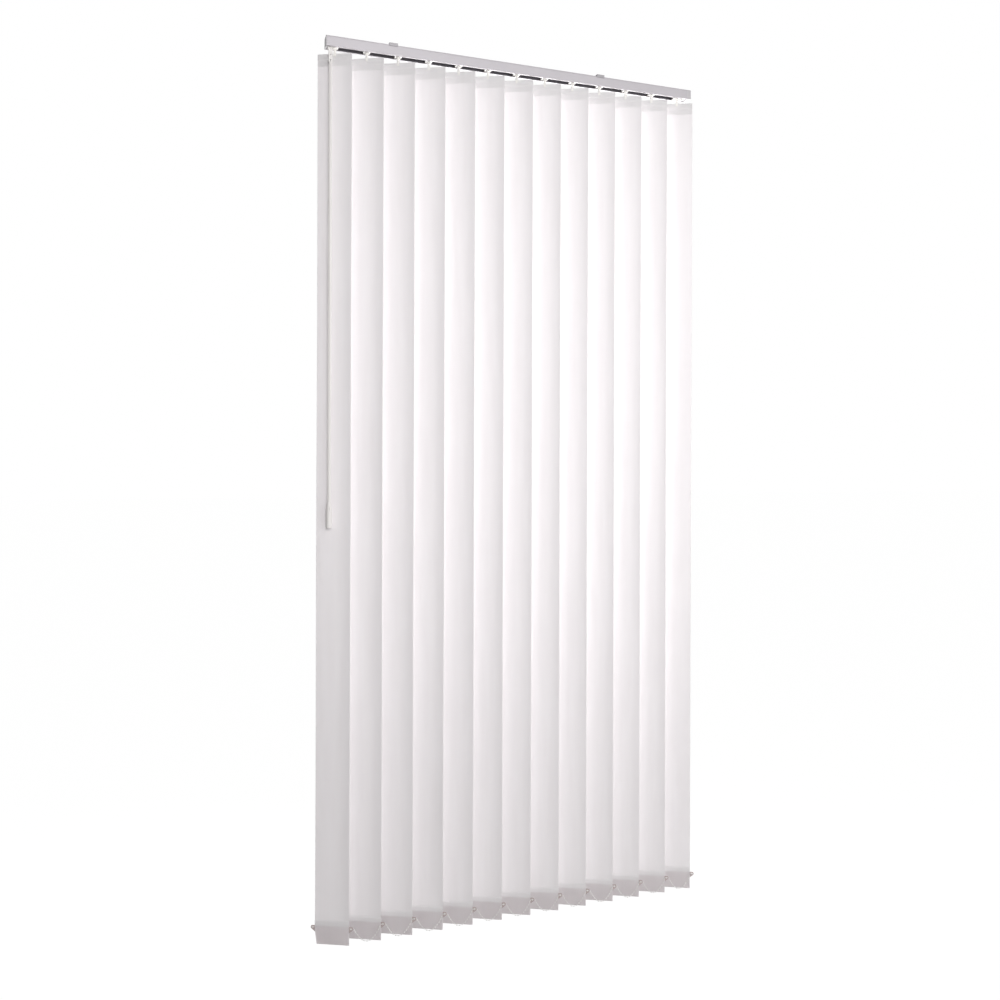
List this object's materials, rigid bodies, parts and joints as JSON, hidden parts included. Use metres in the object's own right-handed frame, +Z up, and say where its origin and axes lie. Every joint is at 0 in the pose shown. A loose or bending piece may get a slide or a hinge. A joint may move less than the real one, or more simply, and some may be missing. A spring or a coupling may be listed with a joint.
{
  "type": "vertical blind",
  "caption": "Vertical blind with white fabric slats hung from a silver channel headrail, joined at the foot by bead chains and worked by a wand.",
  "frame": {"origin": "on the ceiling plane, midway between the two bracket screw holes", "axes": "+Z up, +X along the rail towards the side where the slats stack, -Y towards the room"},
  "size_m": [1.058, 0.0534, 2.285],
  "materials": {
    "rail_metal": "satin",
    "cap_plastic": "satin",
    "clip_steel": "satin",
    "rod_metal": "satin",
    "white_plastic": "satin",
    "chain_plastic": "satin",
    "carrier_plastic": "satin",
    "fabric": "matte",
    "weight_plastic": "satin"
  },
  "bodies": {
    "rail": {"headrail": "rail_metal", "end_caps": "cap_plastic", "brackets": "clip_steel", "carrier_13": "carrier_plastic"},
    "rod": {"tilt_rod": "rod_metal"},
    "carriage_01": {"carrier_01": "carrier_plastic"},
    "carriage_02": {"carrier_02": "carrier_plastic"},
    "carriage_03": {"carrier_03": "carrier_plastic"},
    "carriage_04": {"carrier_04": "carrier_plastic"},
    "carriage_05": {"carrier_05": "carrier_plastic"},
    "carriage_06": {"carrier_06": "carrier_plastic"},
    "carriage_07": {"carrier_07": "carrier_plastic"},
    "carriage_08": {"carrier_08": "carrier_plastic"},
    "carriage_09": {"carrier_09": "carrier_plastic"},
    "carriage_10": {"carrier_10": "carrier_plastic"},
    "carriage_11": {"carrier_11": "carrier_plastic"},
    "carriage_12": {"carrier_12": "carrier_plastic"},
    "vane_01": {"hook_01": "white_plastic", "slat_01": "fabric", "inserts_01": "weight_plastic"},
    "vane_02": {"hook_02": "white_plastic", "slat_02": "fabric", "inserts_02": "weight_plastic"},
    "vane_03": {"hook_03": "white_plastic", "slat_03": "fabric", "inserts_03": "weight_plastic"},
    "vane_04": {"hook_04": "white_plastic", "slat_04": "fabric", "inserts_04": "weight_plastic"},
    "vane_05": {"hook_05": "white_plastic", "slat_05": "fabric", "inserts_05": "weight_plastic"},
    "vane_06": {"hook_06": "white_plastic", "slat_06": "fabric", "inserts_06": "weight_plastic"},
    "vane_07": {"hook_07": "white_plastic", "slat_07": "fabric", "inserts_07": "weight_plastic"},
    "vane_08": {"hook_08": "white_plastic", "slat_08": "fabric", "inserts_08": "weight_plastic"},
    "vane_09": {"hook_09": "white_plastic", "slat_09": "fabric", "inserts_09": "weight_plastic"},
    "vane_10": {"hook_10": "white_plastic", "slat_10": "fabric", "inserts_10": "weight_plastic"},
    "vane_11": {"hook_11": "white_plastic", "slat_11": "fabric", "inserts_11": "weight_plastic"},
    "vane_12": {"hook_12": "white_plastic", "slat_12": "fabric", "inserts_12": "weight_plastic"},
    "vane_13": {"hook_13": "white_plastic", "slat_13": "fabric", "inserts_13": "weight_plastic"},
    "stub": {"wand_stub": "white_plastic"},
    "wand": {"wand": "white_plastic"},
    "front_chain": {"chain_front": "chain_plastic"},
    "rear_chain": {"chain_rear": "chain_plastic"}
  },
  "joints": [
    {"name": "draw_01", "type": "slide", "parent": "rail", "child": "carriage_01", "axis": [1, 0, 0], "range_m": [0, 0.72], "deforming": ["chain_front", "chain_rear"]},
    {"name": "draw_02", "type": "slide", "parent": "rail", "child": "carriage_02", "axis": [1, 0, 0], "range_m": [0, 0.66001]},
    {"name": "draw_03", "type": "slide", "parent": "rail", "child": "carriage_03", "axis": [1, 0, 0], "range_m": [0, 0.60001]},
    {"name": "draw_04", "type": "slide", "parent": "rail", "child": "carriage_04", "axis": [1, 0, 0], "range_m": [0, 0.54001]},
    {"name": "draw_05", "type": "slide", "parent": "rail", "child": "carriage_05", "axis": [1, 0, 0], "range_m": [0, 0.48001]},
    {"name": "draw_06", "type": "slide", "parent": "rail", "child": "carriage_06", "axis": [1, 0, 0], "range_m": [0, 0.42001]},
    {"name": "draw_07", "type": "slide", "parent": "rail", "child": "carriage_07", "axis": [1, 0, 0], "range_m": [0, 0.36001]},
    {"name": "draw_08", "type": "slide", "parent": "rail", "child": "carriage_08", "axis": [1, 0, 0], "range_m": [0, 0.30001]},
    {"name": "draw_09", "type": "slide", "parent": "rail", "child": "carriage_09", "axis": [1, 0, 0], "range_m": [0, 0.24001]},
    {"name": "draw_10", "type": "slide", "parent": "rail", "child": "carriage_10", "axis": [1, 0, 0], "range_m": [0, 0.18001]},
    {"name": "draw_11", "type": "slide", "parent": "rail", "child": "carriage_11", "axis": [1, 0, 0], "range_m": [0, 0.12001]},
    {"name": "draw_12", "type": "slide", "parent": "rail", "child": "carriage_12", "axis": [1, 0, 0], "range_m": [0, 0.06001]},
    {"name": "tilt_01", "type": "hinge", "parent": "carriage_01", "child": "vane_01", "pos_m": [-0.431, 0, 0], "axis": [0, 0, -1], "range_deg": [-15.5, 62]},
    {"name": "tilt_02", "type": "hinge", "parent": "carriage_02", "child": "vane_02", "pos_m": [-0.351, 0, 0], "axis": [0, 0, -1], "range_deg": [-15.51, 62.01]},
    {"name": "tilt_03", "type": "hinge", "parent": "carriage_03", "child": "vane_03", "pos_m": [-0.271, 0, 0], "axis": [0, 0, -1], "range_deg": [-15.51, 62.01]},
    {"name": "tilt_04", "type": "hinge", "parent": "carriage_04", "child": "vane_04", "pos_m": [-0.191, 0, 0], "axis": [0, 0, -1], "range_deg": [-15.51, 62.01]},
    {"name": "tilt_05", "type": "hinge", "parent": "carriage_05", "child": "vane_05", "pos_m": [-0.111, 0, 0], "axis": [0, 0, -1], "range_deg": [-15.51, 62.01]},
    {"name": "tilt_06", "type": "hinge", "parent": "carriage_06", "child": "vane_06", "pos_m": [-0.031, 0, 0], "axis": [0, 0, -1], "range_deg": [-15.51, 62.01]},
    {"name": "tilt_07", "type": "hinge", "parent": "carriage_07", "child": "vane_07", "pos_m": [0.049, 0, 0], "axis": [0, 0, -1], "range_deg": [-15.51, 62.01]},
    {"name": "tilt_08", "type": "hinge", "parent": "carriage_08", "child": "vane_08", "pos_m": [0.129, 0, 0], "axis": [0, 0, -1], "range_deg": [-15.51, 62.01]},
    {"name": "tilt_09", "type": "hinge", "parent": "carriage_09", "child": "vane_09", "pos_m": [0.209, 0, 0], "axis": [0, 0, -1], "range_deg": [-15.51, 62.01]},
    {"name": "tilt_10", "type": "hinge", "parent": "carriage_10", "child": "vane_10", "pos_m": [0.289, 0, 0], "axis": [0, 0, -1], "range_deg": [-15.51, 62.01]},
    {"name": "tilt_11", "type": "hinge", "parent": "carriage_11", "child": "vane_11", "pos_m": [0.369, 0, 0], "axis": [0, 0, -1], "range_deg": [-15.51, 62.01]},
    {"name": "tilt_12", "type": "hinge", "parent": "carriage_12", "child": "vane_12", "pos_m": [0.449, 0, 0], "axis": [0, 0, -1], "range_deg": [-15.51, 62.01]},
    {"name": "tilt_13", "type": "hinge", "parent": "rail", "child": "vane_13", "pos_m": [0.529, 0, 0], "axis": [0, 0, -1], "range_deg": [-15.51, 62.01]},
    {"name": "rod_turn", "type": "hinge", "parent": "rail", "child": "rod", "pos_m": [0, 0, -0.0165], "axis": [1, 0, 0], "range_deg": [-361, 1441]},
    {"name": "wand_turn", "type": "hinge", "parent": "carriage_01", "child": "stub", "pos_m": [-0.4425, -0.0055, 0], "axis": [0, 0, 1], "range_deg": [-361, 1441]},
    {"name": "wand_swing", "type": "hinge", "parent": "stub", "child": "wand", "pos_m": [-0.4425, -0.0055, -0.036], "axis": [0, 1, 0], "range_deg": [0, 25]},
    {"name": "front_chain_turn", "type": "hinge", "parent": "vane_13", "child": "front_chain", "pos_m": [0.57315, -0.02347, 0], "axis": [0, 0, -1], "range_deg": [-62.01, 15.51]},
    {"name": "rear_chain_turn", "type": "hinge", "parent": "vane_13", "child": "rear_chain", "pos_m": [0.48485, 0.02347, 0], "axis": [0, 0, -1], "range_deg": [-62.01, 15.51]}
  ],
  "couplings": [
    {"joint": "draw_02", "follows": "draw_01", "ratio": 0.91667},
    {"joint": "draw_03", "follows": "draw_01", "ratio": 0.83333},
    {"joint": "draw_04", "follows": "draw_01", "ratio": 0.75},
    {"joint": "draw_05", "follows": "draw_01", "ratio": 0.66667},
    {"joint": "draw_06", "follows": "draw_01", "ratio": 0.58333},
    {"joint": "draw_07", "follows": "draw_01", "ratio": 0.5},
    {"joint": "draw_08", "follows": "draw_01", "ratio": 0.41667},
    {"joint": "draw_09", "follows": "draw_01", "ratio": 0.33333},
    {"joint": "draw_10", "follows": "draw_01", "ratio": 0.25},
    {"joint": "draw_11", "follows": "draw_01", "ratio": 0.16667},
    {"joint": "draw_12", "follows": "draw_01", "ratio": 0.083333},
    {"joint": "tilt_02", "follows": "tilt_01", "ratio": 1},
    {"joint": "tilt_03", "follows": "tilt_01", "ratio": 1},
    {"joint": "tilt_04", "follows": "tilt_01", "ratio": 1},
    {"joint": "tilt_05", "follows": "tilt_01", "ratio": 1},
    {"joint": "tilt_06", "follows": "tilt_01", "ratio": 1},
    {"joint": "tilt_07", "follows": "tilt_01", "ratio": 1},
    {"joint": "tilt_08", "follows": "tilt_01", "ratio": 1},
    {"joint": "tilt_09", "follows": "tilt_01", "ratio": 1},
    {"joint": "tilt_10", "follows": "tilt_01", "ratio": 1},
    {"joint": "tilt_11", "follows": "tilt_01", "ratio": 1},
    {"joint": "tilt_12", "follows": "tilt_01", "ratio": 1},
    {"joint": "tilt_13", "follows": "tilt_01", "ratio": 1},
    {"joint": "rod_turn", "follows": "tilt_01", "ratio": 23.226},
    {"joint": "wand_turn", "follows": "tilt_01", "ratio": 23.226},
    {"joint": "front_chain_turn", "follows": "tilt_01", "ratio": -1},
    {"joint": "rear_chain_turn", "follows": "tilt_01", "ratio": -1}
  ]
}
